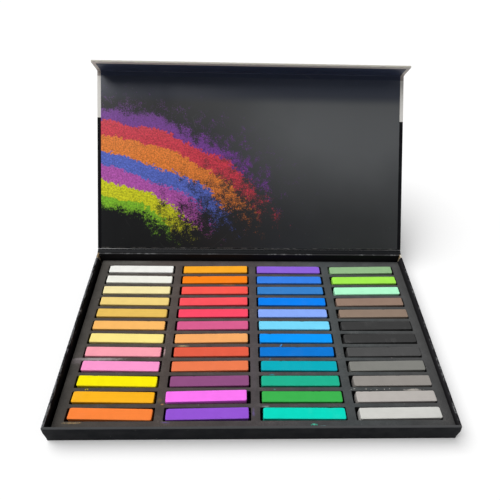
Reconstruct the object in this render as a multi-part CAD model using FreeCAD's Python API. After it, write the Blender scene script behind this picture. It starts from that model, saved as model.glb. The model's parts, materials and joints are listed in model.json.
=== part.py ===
import FreeCAD, Part

import math
import os

# Book-style rigid paperboard box of soft pastel sticks, modelled open.
#
# A case of four boards (base, spine, lid, flap) wraps a shallow tray. The tray holds
# one die-cut foam sheet, and each of its pockets holds one pastel stick. The lid turns
# on a paper hinge along the top of the spine. The flap turns on a paper hinge along
# the lid's front edge and closes against the tray's front wall with two magnet pairs.
#
# Millimetres. Origin: centre of the tray's footprint, on the underside of the base.
# +X to the right, +Y from the front to the hinge, +Z up.

# Pastel sticks
STICK_LENGTH = 65.4
STICK_WIDTH = 9.2
STICK_HEIGHT = 9.6
STICK_ARRIS = 0.4
COLUMNS = 4
ROWS = 12

# Pockets in the foam sheet
POCKET_END_CLEARANCE = 1.7
POCKET_SIDE_CLEARANCE = 0.8
POCKET_CORNER = 0.9
COLUMN_WEB = 7.0
ROW_WEB = 3.1
FOAM_SIDE_MARGIN = 8.2
FOAM_FRONT_MARGIN = 7.4
FOAM_THICKNESS = 8.4
FOAM_CORNER = 1.2

# How the foam lies in the tray: close to the right and front walls, loose at the others
FOAM_FIT = 0.3
FOAM_SLACK_LEFT = 2.9
FOAM_SLACK_BACK = 1.6
RIM_ABOVE_FOAM = 8.4

# Tray
TRAY_WALL = 1.8
TRAY_FLOOR = 1.6
TRAY_CORNER = 1.0
RIM_ROUND = 0.3

# Case boards
BOARD = 2.0
BOARD_CORNER = 0.8
CASE_OVERHANG = 0.3
SPINE_FOOT_GAP = 0.8
SPINE_TOP_DROP = 0.4
LID_HINGE_GAP = 3.0
LID_FRONT_SETBACK = 3.0
LID_RIM_GAP = 0.3
FLAP_WALL_GAP = 0.4
FLAP_FLOOR_GAP = 1.0
FLAP_TOP_DROP = 0.6

# Printed liner sheets and laminated paper hinges
LINER = 0.3
LINER_MARGIN = 3.8
LINER_HEM = 0.8
HINGE_PAPER = 0.4
HINGE_FIT = 0.15
HINGE_END_MARGIN = 0.3

# Magnet pairs
MAGNET_RADIUS = 5.0
MAGNET_THICKNESS = 1.0
MAGNET_CLEARANCE = 0.1
MAGNET_BACK_CLEARANCE = 0.05
MAGNET_SIDE_MARGIN = 70.0
MAGNET_HEIGHT = 10.5

# Open pose: lid lean from the vertical, flap fold beyond square to the lid
LID_LEAN_DEG = 43.0
FLAP_SPREAD_DEG = 3.0
SQUARE_DEG = 90.0

# How each column of loose sticks lies in its pockets: at the back row, at the front row,
# and a small wave between neighbours. One stick stands proud of the rest.
STICK_SEAT_GAP = 0.1
SLIDE_AT_BACK = (-0.1, 0.2, -0.5, 0.2)
SLIDE_AT_FRONT = (0.1, 0.3, 0.4, 1.6)
YAW_AT_BACK_DEG = (-0.2, 0.8, 0.1, 1.1)
YAW_AT_FRONT_DEG = (-1.2, 0.7, -0.3, 0.5)
SLIDE_WAVE = 0.3
YAW_WAVE_DEG = 0.2
WAVE_STEP_DEG = 137.5
PROUD_STICK = (2, 11)
PROUD_LIFT = 1.5
PROUD_SLIDE = -1.6
PROUD_YAW_DEG = 1.2

# Worked-out sizes: the tray grows from the sticks and their pockets
POCKET_LENGTH = STICK_LENGTH + 2 * POCKET_END_CLEARANCE
POCKET_WIDTH = STICK_WIDTH + 2 * POCKET_SIDE_CLEARANCE
COLUMN_PITCH = POCKET_LENGTH + COLUMN_WEB
ROW_PITCH = POCKET_WIDTH + ROW_WEB
FOAM_WIDTH = COLUMNS * POCKET_LENGTH + (COLUMNS - 1) * COLUMN_WEB + 2 * FOAM_SIDE_MARGIN
FOAM_DEPTH = ROWS * POCKET_WIDTH + (ROWS - 1) * ROW_WEB + 2 * FOAM_FRONT_MARGIN
TRAY_WIDTH = FOAM_WIDTH + FOAM_FIT + FOAM_SLACK_LEFT + 2 * TRAY_WALL
TRAY_DEPTH = FOAM_DEPTH + FOAM_FIT + FOAM_SLACK_BACK + 2 * TRAY_WALL
CASE_WIDTH = TRAY_WIDTH + 2 * CASE_OVERHANG
TRAY_FRONT = -TRAY_DEPTH / 2
TRAY_BACK = TRAY_DEPTH / 2
FLOOR_Z = BOARD + TRAY_FLOOR
FOAM_TOP_Z = FLOOR_Z + FOAM_THICKNESS
RIM_Z = FOAM_TOP_Z + RIM_ABOVE_FOAM
FOAM_CENTRE_X = TRAY_WIDTH / 2 - TRAY_WALL - FOAM_FIT - FOAM_WIDTH / 2
FOAM_CENTRE_Y = TRAY_FRONT + TRAY_WALL + FOAM_FIT + FOAM_DEPTH / 2

# Worked-out places of the lid and flap, in the closed pose
SPINE_BACK = TRAY_BACK + BOARD
LID_AXIS_Y = SPINE_BACK
LID_AXIS_Z = RIM_Z
LID_REAR = SPINE_BACK - LID_HINGE_GAP
LID_FRONT = TRAY_FRONT + LID_FRONT_SETBACK
LID_LINER_Z = RIM_Z + LID_RIM_GAP
LID_INNER_Z = LID_LINER_Z + LINER
LID_OUTER_Z = LID_INNER_Z + BOARD
FLAP_LINER_Y = TRAY_FRONT - FLAP_WALL_GAP
FLAP_INNER_Y = FLAP_LINER_Y - LINER
FLAP_TOP_Z = RIM_Z - FLAP_TOP_DROP
FLAP_AXIS_Z = RIM_Z
FLAP_AXIS_Y = LID_INNER_Z + FLAP_INNER_Y - FLAP_AXIS_Z

OUT = "parts"
PARALLEL_WITHIN_DEG = 2.5
CUT_PAST = 1.0
X_AXIS = FreeCAD.Vector(1, 0, 0)
Y_AXIS = FreeCAD.Vector(0, 1, 0)
Z_AXIS = FreeCAD.Vector(0, 0, 1)
ORIGIN = FreeCAD.Vector(0, 0, 0)


def save(name, shape):
    """Write one named piece as a STEP file."""
    shape.exportStep(os.path.join(OUT, name + ".step"))


def block(x0, x1, y0, y1, z0, z1):
    """Box between two corners."""
    return Part.makeBox(x1 - x0, y1 - y0, z1 - z0, FreeCAD.Vector(x0, y0, z0))


def edges_along(shape, axis):
    """Straight edges of a shape that run along an axis."""
    least = math.cos(math.radians(PARALLEL_WITHIN_DEG))
    found = []
    for edge in shape.Edges:
        run = edge.Vertexes[-1].Point.sub(edge.Vertexes[0].Point)
        if run.Length > 0 and abs(run.dot(axis)) > least * run.Length:
            found.append(edge)
    return found


def board(x0, x1, y0, y1, z0, z1, corner_axis):
    """Greyboard panel in its glued wrap, with its four corners slightly rounded."""
    panel = block(x0, x1, y0, y1, z0, z1)
    return panel.makeFillet(BOARD_CORNER, edges_along(panel, corner_axis))


def rounded_rectangle(centre_x, centre_y, length, width, radius, z):
    """Closed wire: a rectangle with four arc corners."""
    half_x = length / 2 - radius
    half_y = width / 2 - radius
    corners = ((1, 1), (-1, 1), (-1, -1), (1, -1))
    lift = FreeCAD.Vector(centre_x, centre_y, z)
    edges = []
    last = None
    for turn, (side_x, side_y) in enumerate(corners):
        hub = lift + FreeCAD.Vector(side_x * half_x, side_y * half_y, 0)
        points = []
        for step in range(3):
            angle = math.radians(SQUARE_DEG * (turn + step / 2))
            points.append(hub + FreeCAD.Vector(math.cos(angle), math.sin(angle), 0) * radius)
        if last is None:
            first = points[0]
        else:
            edges.append(Part.makeLine(last, points[0]))
        edges.append(Part.Arc(*points).toShape())
        last = points[2]
    edges.append(Part.makeLine(last, first))
    return Part.Wire(edges)


def magnet_discs(radius, thickness, start_y):
    """Two discs on the magnet centres, their axes along Y from start_y."""
    discs = []
    for side in (-1, 1):
        foot = FreeCAD.Vector(side * (CASE_WIDTH / 2 - MAGNET_SIDE_MARGIN), start_y, MAGNET_HEIGHT)
        discs.append(Part.makeCylinder(radius, thickness, foot, Y_AXIS))
    return discs


def cut_all(shape, tools):
    """Take several tools out of a shape."""
    for tool in tools:
        shape = shape.cut(tool)
    return shape


def open_lid(shape):
    """Turn a piece of the closed lid about the spine hinge to its open pose."""
    placed = shape.copy()
    hub = FreeCAD.Vector(0, LID_AXIS_Y, LID_AXIS_Z)
    placed.rotate(hub, X_AXIS, -(SQUARE_DEG + LID_LEAN_DEG))
    return placed


def open_flap(shape):
    """Spread a piece of the closed flap, then carry it with the opened lid."""
    placed = shape.copy()
    hub = FreeCAD.Vector(0, FLAP_AXIS_Y, FLAP_AXIS_Z)
    placed.rotate(hub, X_AXIS, -FLAP_SPREAD_DEG)
    return open_lid(placed)


def lid_point(y, z):
    """Open-pose place of a point of the closed lid."""
    return open_lid(Part.Vertex(0, y, z)).Point


def flap_point(y, z):
    """Open-pose place of a point of the closed flap."""
    return open_flap(Part.Vertex(0, y, z)).Point


# ---- case, tray and foam ----------------------------------------------------------

def make_base_panel():
    half = CASE_WIDTH / 2
    return board(-half, half, TRAY_FRONT, TRAY_BACK, 0, BOARD, Z_AXIS)


def make_spine_panel():
    half = CASE_WIDTH / 2
    top = RIM_Z - SPINE_TOP_DROP
    return board(-half, half, TRAY_BACK, SPINE_BACK, SPINE_FOOT_GAP, top, Y_AXIS)


def make_tray():
    """Tray: floor and four walls, rounded corner folds and a softened rim."""
    half = TRAY_WIDTH / 2
    outer = block(-half, half, TRAY_FRONT, TRAY_BACK, BOARD, RIM_Z)
    outer = outer.makeFillet(TRAY_CORNER, edges_along(outer, Z_AXIS))
    rim = [edge for edge in outer.Edges if edge.BoundBox.ZMin > RIM_Z - RIM_ROUND]
    outer = outer.makeFillet(RIM_ROUND, rim)
    inner_half = half - TRAY_WALL
    inner_front = TRAY_FRONT + TRAY_WALL
    inner_back = TRAY_BACK - TRAY_WALL
    hollow = block(-inner_half, inner_half, inner_front, inner_back, FLOOR_Z, RIM_Z + CUT_PAST)
    seat_depth = MAGNET_THICKNESS + MAGNET_BACK_CLEARANCE
    seats = magnet_discs(MAGNET_RADIUS + MAGNET_CLEARANCE, seat_depth, inner_front - seat_depth)
    return cut_all(outer.cut(hollow), seats)


def make_tray_magnets():
    start = TRAY_FRONT + TRAY_WALL - MAGNET_THICKNESS
    return Part.makeCompound(magnet_discs(MAGNET_RADIUS, MAGNET_THICKNESS, start))


def pocket_centre(column, row):
    """Centre of a pocket: column 1 at the left, row 1 at the back."""
    x = FOAM_CENTRE_X + (column - (COLUMNS + 1) / 2) * COLUMN_PITCH
    y = FOAM_CENTRE_Y - (row - (ROWS + 1) / 2) * ROW_PITCH
    return x, y


def pocket_places():
    """Column and row of every pocket, back to front within each column."""
    return [(column, row) for column in range(1, COLUMNS + 1) for row in range(1, ROWS + 1)]


def make_foam_insert():
    """One foam sheet with every pocket cut through it as an inner outline."""
    outline = rounded_rectangle(FOAM_CENTRE_X, FOAM_CENTRE_Y, FOAM_WIDTH, FOAM_DEPTH, FOAM_CORNER, FLOOR_Z)
    pockets = []
    for column, row in pocket_places():
        x, y = pocket_centre(column, row)
        wire = rounded_rectangle(x, y, POCKET_LENGTH, POCKET_WIDTH, POCKET_CORNER, FLOOR_Z)
        wire.reverse()
        pockets.append(wire)
    face = Part.Face([outline] + pockets)
    return face.extrude(Z_AXIS * FOAM_THICKNESS)


# ---- sticks ------------------------------------------------------------------------

def stick_bar():
    """A moulded stick about its own centre line, every arris broken."""
    bar = block(-STICK_LENGTH / 2, STICK_LENGTH / 2, -STICK_WIDTH / 2, STICK_WIDTH / 2, 0, STICK_HEIGHT)
    return bar.makeChamfer(STICK_ARRIS, bar.Edges)


def along_column(at_back, at_front, column, row):
    """Value at one row, between the column's values at its back and front rows."""
    turn = (column - 1) % len(at_back)
    part = (row - 1) / (ROWS - 1)
    return at_back[turn] * (1 - part) + at_front[turn] * part


def held_within(value, limit):
    """Value kept between minus and plus a limit."""
    return max(-limit, min(limit, value))


def stick_lie(column, row):
    """Slide along the pocket, yaw and lift of one stick, within the pocket's clearance."""
    wave = math.sin(math.radians(WAVE_STEP_DEG * (row + column * ROWS)))
    slide = along_column(SLIDE_AT_BACK, SLIDE_AT_FRONT, column, row) + SLIDE_WAVE * wave
    yaw = along_column(YAW_AT_BACK_DEG, YAW_AT_FRONT_DEG, column, row) - YAW_WAVE_DEG * wave
    lift = STICK_SEAT_GAP
    if (column, row) == PROUD_STICK:
        slide = PROUD_SLIDE
        yaw = PROUD_YAW_DEG
        lift = lift + PROUD_LIFT
    room = POCKET_END_CLEARANCE - STICK_SEAT_GAP
    swing = math.degrees(math.asin((POCKET_SIDE_CLEARANCE - STICK_SEAT_GAP) / (STICK_LENGTH / 2)))
    return held_within(slide, room), held_within(yaw, swing), lift


def make_stick(bar, column, row):
    slide, yaw, lift = stick_lie(column, row)
    x, y = pocket_centre(column, row)
    stick = bar.copy()
    stick.rotate(ORIGIN, Z_AXIS, yaw)
    stick.translate(FreeCAD.Vector(x + slide, y, FLOOR_Z + lift))
    return stick


# ---- lid and flap ------------------------------------------------------------------

def make_lid_panel():
    half = CASE_WIDTH / 2
    panel = board(-half, half, LID_FRONT, LID_REAR, LID_INNER_Z, LID_OUTER_Z, Z_AXIS)
    return open_lid(panel)


def make_lid_liner():
    """Printed sheet glued to the lid's inner face, with a margin at each side."""
    half = CASE_WIDTH / 2 - LINER_MARGIN
    sheet = block(-half, half, LID_FRONT + LINER_HEM, LID_REAR - LINER_HEM, LID_LINER_Z, LID_INNER_Z)
    return open_lid(sheet)


def make_flap_panel():
    half = CASE_WIDTH / 2
    panel = board(-half, half, FLAP_INNER_Y - BOARD, FLAP_INNER_Y, FLAP_FLOOR_GAP, FLAP_TOP_Z, Y_AXIS)
    seat_depth = MAGNET_THICKNESS + MAGNET_BACK_CLEARANCE
    seats = magnet_discs(MAGNET_RADIUS + MAGNET_CLEARANCE, seat_depth, FLAP_INNER_Y - seat_depth)
    return open_flap(cut_all(panel, seats))


def make_flap_liner():
    half = CASE_WIDTH / 2 - LINER_MARGIN
    foot = FLAP_FLOOR_GAP + LINER_MARGIN
    sheet = block(-half, half, FLAP_INNER_Y, FLAP_LINER_Y, foot, FLAP_TOP_Z - LINER_HEM)
    return open_flap(sheet)


def make_flap_magnets():
    discs = magnet_discs(MAGNET_RADIUS, MAGNET_THICKNESS, FLAP_INNER_Y - MAGNET_THICKNESS)
    return open_flap(Part.makeCompound(discs))


def paper_hinge(start, knee, end):
    """Laminated paper strip that bends round an arc through three points of its profile."""
    outer = Part.Arc(start, knee, end)
    face_side = (end - start).cross(X_AXIS).normalize() * HINGE_PAPER
    inner = Part.Arc(start + face_side, knee + face_side, end + face_side)
    edges = [
        outer.toShape(),
        Part.makeLine(end, end + face_side),
        inner.toShape(),
        Part.makeLine(start + face_side, start),
    ]
    face = Part.Face(Part.Wire(Part.__sortEdges__(edges)))
    half = CASE_WIDTH / 2 - HINGE_END_MARGIN
    strip = face.extrude(X_AXIS * (2 * half))
    strip.translate(X_AXIS * -half)
    return strip


def sagged_middle(start, end, sag):
    """Middle of a strip, pulled off its chord by sag."""
    side = (end - start).cross(X_AXIS).normalize()
    return (start + end) * 0.5 + side * sag


def make_lid_hinge():
    """Strip from the top of the spine to the lid's rear edge."""
    start = FreeCAD.Vector(0, TRAY_BACK + HINGE_FIT, RIM_Z + HINGE_FIT)
    end = lid_point(LID_REAR + HINGE_FIT, LID_INNER_Z)
    return paper_hinge(start, sagged_middle(start, end, -HINGE_PAPER), end)


def make_flap_hinge():
    """Strip from the lid's front edge to the flap's top edge."""
    start = lid_point(LID_FRONT - HINGE_FIT, LID_INNER_Z)
    end = flap_point(FLAP_INNER_Y, FLAP_TOP_Z + HINGE_FIT)
    return paper_hinge(start, sagged_middle(start, end, HINGE_PAPER), end)


def main():
    os.makedirs(OUT, exist_ok=True)
    save("case_base_panel", make_base_panel())
    save("case_spine_panel", make_spine_panel())
    save("tray", make_tray())
    save("tray_magnets", make_tray_magnets())
    save("foam_insert", make_foam_insert())
    bar = stick_bar()
    for column, row in pocket_places():
        save(f"stick_c{column}_r{row:02d}", make_stick(bar, column, row))
    save("lid_panel", make_lid_panel())
    save("lid_liner", make_lid_liner())
    save("lid_hinge", make_lid_hinge())
    save("flap_panel", make_flap_panel())
    save("flap_liner", make_flap_liner())
    save("flap_magnets", make_flap_magnets())
    save("flap_hinge", make_flap_hinge())


main()
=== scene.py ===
import json
import logging
import math
import random
from dataclasses import dataclass
from enum import Enum
from typing import Iterable, Sequence

import bmesh
import bpy
from mathutils import Euler, Matrix, Vector, noise


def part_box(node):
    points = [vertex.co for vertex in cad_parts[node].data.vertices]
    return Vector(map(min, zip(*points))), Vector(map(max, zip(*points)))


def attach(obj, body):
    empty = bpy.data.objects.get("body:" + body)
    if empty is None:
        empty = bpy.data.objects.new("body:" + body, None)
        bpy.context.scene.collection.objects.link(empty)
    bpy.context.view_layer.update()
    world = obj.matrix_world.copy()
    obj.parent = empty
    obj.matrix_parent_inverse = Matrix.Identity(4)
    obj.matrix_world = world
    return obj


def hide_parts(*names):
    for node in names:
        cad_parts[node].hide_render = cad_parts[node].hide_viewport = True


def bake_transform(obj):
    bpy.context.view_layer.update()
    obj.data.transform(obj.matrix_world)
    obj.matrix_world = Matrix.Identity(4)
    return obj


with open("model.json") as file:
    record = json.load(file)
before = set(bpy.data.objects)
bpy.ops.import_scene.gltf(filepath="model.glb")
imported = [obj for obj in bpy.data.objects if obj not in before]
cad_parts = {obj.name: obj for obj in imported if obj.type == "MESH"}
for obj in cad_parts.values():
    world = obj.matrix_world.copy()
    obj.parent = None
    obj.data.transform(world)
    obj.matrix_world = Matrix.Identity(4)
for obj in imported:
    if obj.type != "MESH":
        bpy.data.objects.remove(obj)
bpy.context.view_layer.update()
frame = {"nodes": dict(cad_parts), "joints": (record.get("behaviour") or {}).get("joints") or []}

log = logging.getLogger("pastel_box")

MM = 0.001
TOUCH = 1e-6  # lengths closer than this are the same
CUT_TOUCH = 1e-7  # the same, beside a cutting plane
TOP_TOUCH = 0.01 * MM  # the same, on a top face
PARALLEL = 0.999  # two directions with a greater cosine are one
FLAT_DEG = 0.5  # faces that turn less than this are one
NOISE_BAND = (0.3, 0.7)  # where a noise's values mostly lie

RGB = tuple[float, float, float]
Socket = bpy.types.NodeSocket
BMesh = bmesh.types.BMesh
Material = bpy.types.Material


def srgb(*levels: int) -> RGB:
    """Linear colour of display levels, 0 to 255, by the sRGB curve."""
    parts = (level / 255 for level in levels)
    return tuple(part / 12.92 if part <= 0.04045 else ((part + 0.055) / 1.055) ** 2.4 for part in parts)


def scaled(colour: RGB, factor: float) -> RGB:
    """A colour made lighter or darker."""
    return tuple(factor * part for part in colour)


# ---- the frame's own sizes ----

class Body(Enum):
    """The moving bodies that a piece can ride on, the sticks apart."""

    TRAY = "tray_body"
    LID = "lid"
    FLAP = "flap"


CASE_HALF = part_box("lid_panel")[1][0]
TRAY_LOW, TRAY_HIGH = (Vector(corner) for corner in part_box("tray"))
FOAM_LOW, FOAM_HIGH = (Vector(corner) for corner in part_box("foam_insert"))
RIM_Z = TRAY_HIGH.z
WALL = 1.8 * MM
TOE_IN_LEFT = 0.9 * MM
TOE_IN_RIGHT = 1.8 * MM


@dataclass(frozen=True)
class Leaf:
    """A board that turns and its liner, in axes of its own.

    X runs across, Y along the board from its hinge, and Z out of its inner face.
    """

    hinge: Vector
    turn: float
    board_near: float
    board_far: float
    liner_near: float
    liner_far: float
    board_back: float = -2.6 * MM
    board_face: float = -0.6 * MM
    liner_face: float = -0.3 * MM
    liner_margin: float = 3.8 * MM

    def matrix(self) -> Matrix:
        """Matrix from the leaf's axes to the box's."""
        return Matrix.Translation(self.hinge) @ Matrix.Rotation(self.turn, 4, "X")

    def point(self, along: float, out: float) -> Vector:
        """Place, in the box's axes, of a point of the leaf's middle plane."""
        return self.matrix() @ Vector((0, along, out))

    def lay(self, bm: BMesh) -> BMesh:
        """Move a mesh from the leaf's axes to the box's."""
        bmesh.ops.transform(bm, matrix=self.matrix(), verts=bm.verts)
        return bm

    def board(self) -> tuple[Vector, Vector]:
        """The board's two corners."""
        low = Vector((-CASE_HALF, self.board_near, self.board_back))
        return low, Vector((CASE_HALF, self.board_far, self.board_face))

    def liner(self) -> tuple[Vector, Vector]:
        """The liner's two corners."""
        low = Vector((self.liner_margin - CASE_HALF, self.liner_near, self.board_face))
        return low, Vector((CASE_HALF - self.liner_margin, self.liner_far, self.liner_face))


def joint_place(name: str) -> Vector:
    """Place of a joint's axis at rest."""
    return Vector(next(joint["pos_m"] for joint in frame["joints"] if joint["name"] == name))


LID_TURN = math.radians(90.0 - 43.0)
FLAP_ANGLE = math.radians(87.0)
LID_LEAF = Leaf(joint_place("lid_hinge"), LID_TURN, 3.0 * MM, 183.0 * MM, 3.8 * MM, 182.2 * MM)
FLAP_LEAF = Leaf(joint_place("flap_fold"), LID_TURN + FLAP_ANGLE, 0.6 * MM, 19.4 * MM, 1.4 * MM, 15.6 * MM)
PALE_BAND = 44.3 * MM
# painted shade: a darker copy of the pale wrap, for the flap's inner face
FLAP_PALE_SHADED = srgb(184, 178, 174)
# painted shade: a darker copy of the pale wrap, for the inside of the flap's fold
FOLD_PALE_SHADED = srgb(165, 157, 153)


# ---- meshes ----

def add_object(name: str, data: bpy.types.ID) -> bpy.types.Object:
    """Link a new object of a mesh, lamp or camera to the scene."""
    made = bpy.data.objects.new(name, data)
    bpy.context.scene.collection.objects.link(made)
    return made


def dress(
    bm: BMesh,
    name: str,
    material: Material,
    body: Body | str | None,
    nodes: Sequence[str] = (),
    smooth_deg: float = 40.0,
) -> bpy.types.Object:
    """Make an object of a finished bmesh, give it its finish and let it ride.

    Args:
        bm: The mesh, which is freed here.
        name: The piece's name.
        material: Its finish.
        body: The body that it rides on, or None if it bends between two.
        nodes: The CAD nodes that it stands for.
        smooth_deg: Edges that turn less than this are shaded smooth.

    Returns:
        The object.
    """
    mesh = bpy.data.meshes.new(name)
    bm.to_mesh(mesh)
    bm.free()
    for polygon in mesh.polygons:
        polygon.use_smooth = True
    mesh.set_sharp_from_angle(angle=math.radians(smooth_deg))
    mesh.materials.append(material)
    piece = add_object(name, mesh)
    rider = body.value if isinstance(body, Body) else body
    if rider:
        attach(piece, rider)
    if nodes:
        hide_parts(*nodes)
    log.info("%s: %d faces on %s", name, len(mesh.polygons), rider or "two bodies")
    return piece


def block(low: Sequence[float], high: Sequence[float]) -> BMesh:
    """Box between two corners, as a new bmesh.

    Args:
        low: The lowest corner.
        high: The highest corner.

    Returns:
        The mesh.
    """
    bm = bmesh.new()
    bmesh.ops.create_cube(bm, size=1.0)
    low_corner, high_corner = Vector(low), Vector(high)
    bmesh.ops.scale(bm, vec=high_corner - low_corner, verts=bm.verts)
    bmesh.ops.translate(bm, vec=(low_corner + high_corner) / 2, verts=bm.verts)
    return bm


def round_edges(bm: BMesh, edges: Iterable[bmesh.types.BMEdge], radius: float, segments: int) -> None:
    """Bevel edges round, with a radius and a number of facets."""
    bmesh.ops.bevel(
        bm, geom=list(edges), offset=radius, offset_type="OFFSET", segments=segments,
        profile=0.5, affect="EDGES", clamp_overlap=True, material=-1,
    )


def cut(bm: BMesh, at: Sequence[float], normal: Sequence[float]) -> None:
    """Cut every face of a mesh along a plane."""
    geometry = [*bm.verts, *bm.edges, *bm.faces]
    bmesh.ops.bisect_plane(bm, geom=geometry, dist=CUT_TOUCH, plane_co=at, plane_no=normal)


def edges_along(bm: BMesh, axis: int) -> list[bmesh.types.BMEdge]:
    """Edges of a mesh that run along one axis."""
    runs = ((edge, edge.verts[1].co - edge.verts[0].co) for edge in bm.edges)
    return [edge for edge, run in runs if abs(run.normalized()[axis]) > PARALLEL]


def merged_copy(node: str) -> BMesh:
    """Closed copy of a CAD node's mesh, its loose triangles joined into flat faces.

    Args:
        node: The CAD node.

    Returns:
        The mesh, in the box's axes.
    """
    source = frame["nodes"][node]
    bm = bmesh.new()
    bm.from_mesh(source.data)
    bmesh.ops.transform(bm, matrix=source.matrix_world, verts=bm.verts)
    bmesh.ops.remove_doubles(bm, verts=bm.verts, dist=TOUCH)
    bmesh.ops.dissolve_limit(
        bm, angle_limit=math.radians(FLAT_DEG), verts=bm.verts, edges=bm.edges, delimit={"NORMAL"}
    )
    return bm


# ---- node trees ----

class EffectKind(Enum):
    """Effects that several finishes share, each one node group."""

    GRAIN = "fine_grain"
    DUST = "dust_film"
    FLECKS = "rub_flecks"
    SCRATCHES = "hair_scratches"
    SPECKS = "lone_specks"


class Tree:
    """Short calls that add and wire nodes in one node tree."""

    def __init__(self, tree: bpy.types.NodeTree) -> None:
        """Keep the tree that the calls work on."""
        self.tree = tree

    def add(self, kind: str, **settings: object) -> bpy.types.Node:
        """Add a node and set its properties."""
        node = self.tree.nodes.new(kind)
        for key, value in settings.items():
            setattr(node, key, value)
        return node

    def feed(self, target: Socket, value: object) -> None:
        """Wire a socket, or set its default.

        Args:
            target: The input.
            value: An output, a number, a colour or a vector.
        """
        if isinstance(value, bpy.types.NodeSocket):
            self.tree.links.new(value, target)
        elif isinstance(value, (tuple, list, Vector)) and len(target.default_value) == 4 and len(value) == 3:
            target.default_value = (*value, 1.0)
        else:
            target.default_value = value

    def make(self, kind: str, inputs: dict[int | str, object], output: int | str = 0,
             **settings: object) -> Socket:
        """Add a node and feed it.

        Args:
            kind: The node's type.
            inputs: What feeds each input, by index or name.
            output: The output that is wanted, by index or name.
            settings: Properties of the node.

        Returns:
            The output.
        """
        node = self.add(kind, **settings)
        for key, value in inputs.items():
            self.feed(node.inputs[key], value)
        return node.outputs[output]

    def math(self, operation: str, a: object, b: object = 0.0, clamp: bool = False) -> Socket:
        """Math node of one or two values."""
        return self.make("ShaderNodeMath", {0: a, 1: b}, operation=operation, use_clamp=clamp)

    def times(self, first: object, *factors: object, clamp: bool = False) -> Socket:
        """Product of values, clamped to 0 to 1 if asked."""
        result = first
        for index, factor in enumerate(factors, 1):
            result = self.math("MULTIPLY", result, factor, clamp and index == len(factors))
        return result

    def plus(self, a: object, b: object) -> Socket:
        """Sum of two values."""
        return self.math("ADD", a, b)

    def minus(self, a: object, b: object) -> Socket:
        """Difference of two values."""
        return self.math("SUBTRACT", a, b)

    def most(self, a: object, b: object) -> Socket:
        """Greater of two values."""
        return self.math("MAXIMUM", a, b)

    def above(self, a: object, b: object) -> Socket:
        """1 where a is greater than b, else 0."""
        return self.math("GREATER_THAN", a, b)

    def below(self, a: object, b: object) -> Socket:
        """1 where a is less than b, else 0."""
        return self.math("LESS_THAN", a, b)

    def vector(self, operation: str, a: object, b: object) -> Socket:
        """Vector math node whose result is a vector."""
        return self.make("ShaderNodeVectorMath", {0: a, 1: b}, "Vector", operation=operation)

    def stretched(self, a: object, factors: Sequence[float]) -> Socket:
        """Vector with each part times its own factor."""
        return self.vector("MULTIPLY", a, factors)

    def length(self, a: object) -> Socket:
        """Length of a vector."""
        return self.make("ShaderNodeVectorMath", {0: a}, "Value", operation="LENGTH")

    def split(self, a: Socket) -> tuple[Socket, ...]:
        """Three parts of a vector."""
        node = self.add("ShaderNodeSeparateXYZ")
        self.feed(node.inputs[0], a)
        return tuple(node.outputs)

    def join(self, x: object, y: object, z: object = 0.0) -> Socket:
        """Vector of three values."""
        return self.make("ShaderNodeCombineXYZ", {0: x, 1: y, 2: z})

    def bent(self, vector: Socket, reach: float, *scales: float) -> Socket:
        """Vector with a noise of each scale added to its parts, up to reach."""
        push = self.join(*(self.noise(vector, scale) for scale in scales))
        return self.vector("ADD", vector, self.stretched(push, (reach,) * 3))

    def mix(self, factor: object, a: object, b: object, blend: str = "MIX") -> Socket:
        """Mix of two colours."""
        return self.make("ShaderNodeMix", {0: factor, 6: a, 7: b}, 2, data_type="RGBA", blend_type=blend)

    def shaded(self, colour: object, level: Socket) -> Socket:
        """Colour times a level."""
        return self.mix(1.0, colour, self.join(level, level, level), "MULTIPLY")

    def spread(self, value: object, low: float, high: float, to_low: object = 0.0, to_high: object = 1.0,
               smooth: bool = False) -> Socket:
        """Map Range of a value from low..high to to_low..to_high, clamped, eased if smooth."""
        return self.make("ShaderNodeMapRange", dict(enumerate((value, low, high, to_low, to_high))),
                         interpolation_type="SMOOTHSTEP" if smooth else "LINEAR")

    def noise(self, vector: object, scale: object, detail: float = 2.0, roughness: float = 0.5) -> Socket:
        """Noise value, about 0 to 1."""
        return self.make("ShaderNodeTexNoise", {
            "Vector": vector, "Scale": scale, "Detail": detail, "Roughness": roughness}, "Fac")

    def waver(self, vector: object, scale: float, low: float, high: float, detail: float = 2.0,
              roughness: float = 0.5) -> Socket:
        """Noise that mostly fills low..high."""
        return self.spread(self.noise(vector, scale, detail, roughness), *NOISE_BAND, low, high)

    def cells(self, vector: object, scale: object, feature: str = "F1") -> Socket:
        """Voronoi distance."""
        inputs = {"Vector": vector, "Scale": scale}
        return self.make("ShaderNodeTexVoronoi", inputs, "Distance", feature=feature)

    def ramp(self, factor: object, stops: Sequence[tuple[float, RGB]], hard: bool = False) -> Socket:
        """Colour ramp.

        Args:
            factor: Where on the ramp.
            stops: Place and colour of each stop, lowest first.
            hard: Whether the colours change in steps.

        Returns:
            The colour.
        """
        node = self.add("ShaderNodeValToRGB")
        node.color_ramp.interpolation = "CONSTANT" if hard else "LINEAR"
        while len(node.color_ramp.elements) < len(stops):
            node.color_ramp.elements.new(1.0)
        for element, (place, colour) in zip(node.color_ramp.elements, stops):
            element.position = place
            element.color = (*colour, 1.0)
        self.feed(node.inputs[0], factor)
        return node.outputs[0]

    def place(self) -> Socket:
        """Object coordinates, which are the box's own axes."""
        return self.make("ShaderNodeTexCoord", {}, "Object")

    def within(self, vector: Socket, **inputs: object) -> Socket:
        """Vector in axes with a Location, a Rotation and perhaps a Scale of their own."""
        return self.make("ShaderNodeMapping", {"Vector": vector, **inputs}, vector_type="TEXTURE")

    def local(self, leaf: Leaf) -> Socket:
        """Object coordinates turned into a leaf's own axes."""
        return self.within(self.place(), Location=leaf.hinge, Rotation=(leaf.turn, 0.0, 0.0))

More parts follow.
